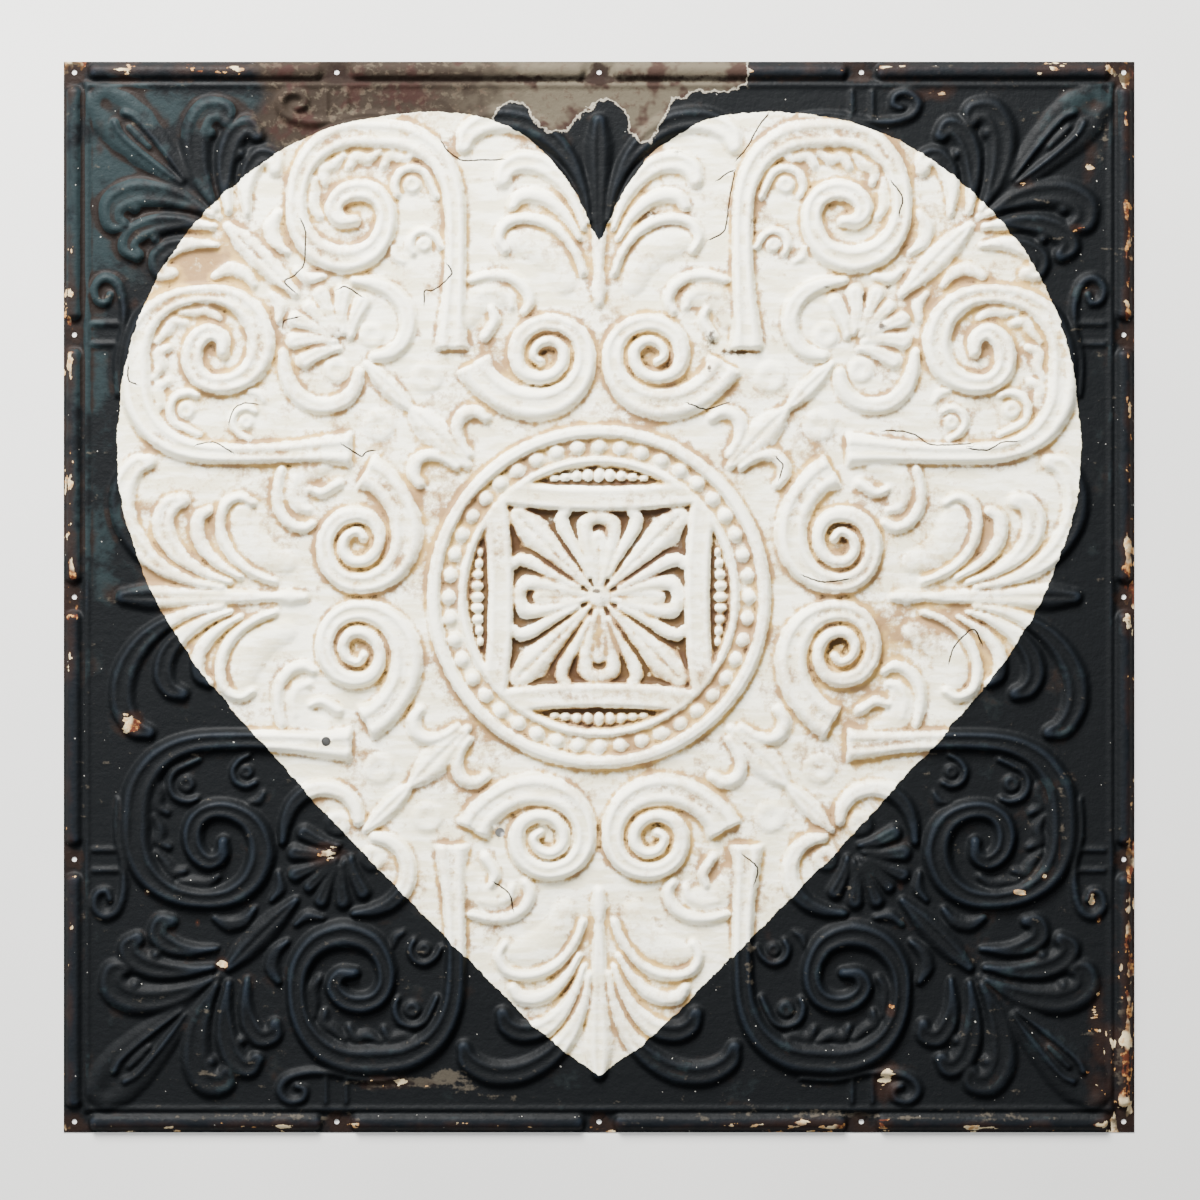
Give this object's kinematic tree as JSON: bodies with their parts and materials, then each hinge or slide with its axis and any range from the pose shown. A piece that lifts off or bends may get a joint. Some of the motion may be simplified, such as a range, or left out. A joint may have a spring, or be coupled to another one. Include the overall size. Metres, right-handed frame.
{
  "type": "pressed tin ceiling tile",
  "caption": "Square ceiling tile pressed from one thin sheet, with a round medallion, scrolls, leaves and a rolled border with nailing pads.",
  "frame": {"origin": "middle of the tile, on the plane of the underside of its flat nailing flange", "axes": "+Z out of the ornamented face, +X to the right and +Y to the top of the pictured face"},
  "size_m": [0.622, 0.622, 0.0073],
  "materials": {
    "painted_tinplate": "aged satin paint over tinplate, black round a cream heart, with chips and rust"
  },
  "bodies": {
    "root": {"pressed_sheet": "painted_tinplate"}
  },
  "joints": []
}
